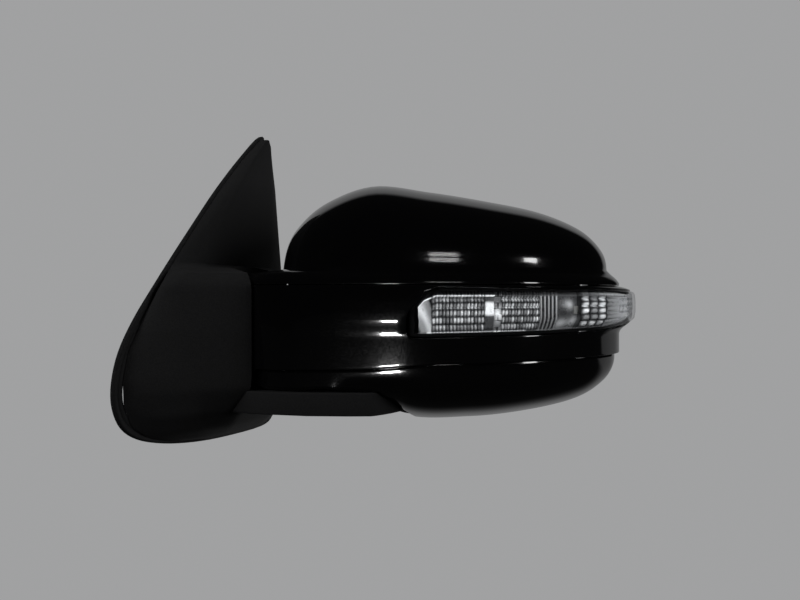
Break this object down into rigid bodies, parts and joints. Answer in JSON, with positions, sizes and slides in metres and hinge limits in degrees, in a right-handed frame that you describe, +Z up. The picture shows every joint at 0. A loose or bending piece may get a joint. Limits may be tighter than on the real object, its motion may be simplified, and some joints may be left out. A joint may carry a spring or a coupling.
{
  "type": "car side mirror",
  "caption": "Door mirror with a triangular sail base, power-folding head, side turn lamp and adjustable mirror glass.",
  "frame": {"origin": "on the door face, straight inboard of the fold axis at the height of the belt", "axes": "+X out from the door, -Y towards the front of the vehicle, +Z up; the head leans back from straight outboard at rest"},
  "size_m": [0.3109, 0.268, 0.2391],
  "materials": {
    "gloss_black": "glossy black paint",
    "textured_black": "fine-grained matte",
    "black_rubber": "matt",
    "cast_alloy": "as cast",
    "steel": "zinc plated",
    "moulded_grey": "glass-filled moulding",
    "white_acetal": "satin",
    "circuit_board": "solder mask",
    "clear_lens": "clear polished",
    "lamp_chrome": "metallised",
    "mirror": "silvered glass"
  },
  "bodies": {
    "base": {"base_bracket": "cast_alloy", "base_cover": "textured_black", "base_gasket": "black_rubber", "detent_ring": "moulded_grey", "fold_spring": "steel", "fold_wheel": "moulded_grey", "mount_stud_1": "steel", "mount_stud_2": "steel", "mount_stud_3": "steel", "pivot_screw_1": "steel", "pivot_screw_2": "steel", "pivot_screw_3": "steel", "pivot_shaft": "steel", "spring_retainer": "steel", "wire_grommet": "black_rubber"},
    "head": {"actuator_case_front": "moulded_grey", "actuator_case_rear": "moulded_grey", "actuator_screw_1": "steel", "actuator_screw_2": "steel", "actuator_screw_3": "steel", "drive_case_lower": "moulded_grey", "drive_case_upper": "moulded_grey", "fold_motor": "steel", "front_housing": "gloss_black", "head_frame": "moulded_grey", "lamp_board": "circuit_board", "lamp_gasket": "black_rubber", "lamp_housing": "moulded_grey", "lamp_led_1": "white_acetal", "lamp_led_2": "white_acetal", "lamp_led_3": "white_acetal", "lamp_led_4": "white_acetal", "lamp_led_5": "white_acetal", "lamp_lens": "clear_lens", "lamp_reflector": "lamp_chrome", "lower_cover": "gloss_black", "pan_motor": "steel", "rear_bezel": "gloss_black", "tilt_motor": "steel", "upper_cover": "gloss_black"},
    "worm": {"fold_worm": "steel"},
    "pan": {"gimbal_ring": "white_acetal"},
    "glass": {"glass_plate": "moulded_grey", "glass_heater": "black_rubber", "mirror_glass": "mirror"},
    "pan_rod": {"pan_plunger": "white_acetal"},
    "tilt_rod": {"tilt_plunger": "white_acetal"}
  },
  "joints": [
    {"name": "fold", "type": "hinge", "parent": "base", "child": "head", "pos_m": [0.074, 0, 0], "axis": [0, 0, 1], "range_deg": [-25, 52]},
    {"name": "worm_spin", "type": "hinge", "parent": "head", "child": "worm", "pos_m": [0.0972, 0.01082, -0.024], "axis": [-0.4226, 0.9063, 0], "continuous": true},
    {"name": "glass_pan", "type": "hinge", "parent": "head", "child": "pan", "pos_m": [0.16065, 0.07682, 0], "axis": [0, 0, 1], "range_deg": [-8, 8]},
    {"name": "glass_tilt", "type": "hinge", "parent": "pan", "child": "glass", "pos_m": [0.16065, 0.07682, 0], "axis": [0.9063, 0.4226, 0], "range_deg": [-8, 8]},
    {"name": "pan_slide", "type": "slide", "parent": "head", "child": "pan_rod", "axis": [-0.4226, 0.9063, 0], "range_m": [-0.004, 0.004]},
    {"name": "tilt_slide", "type": "slide", "parent": "head", "child": "tilt_rod", "axis": [-0.4226, 0.9063, 0], "range_m": [-0.004, 0.004]}
  ],
  "couplings": [
    {"joint": "worm_spin", "follows": "fold", "ratio": 36},
    {"joint": "pan_slide", "follows": "glass_pan", "m_per_rad": 0.028},
    {"joint": "tilt_slide", "follows": "glass_tilt", "m_per_rad": 0.028}
  ]
}
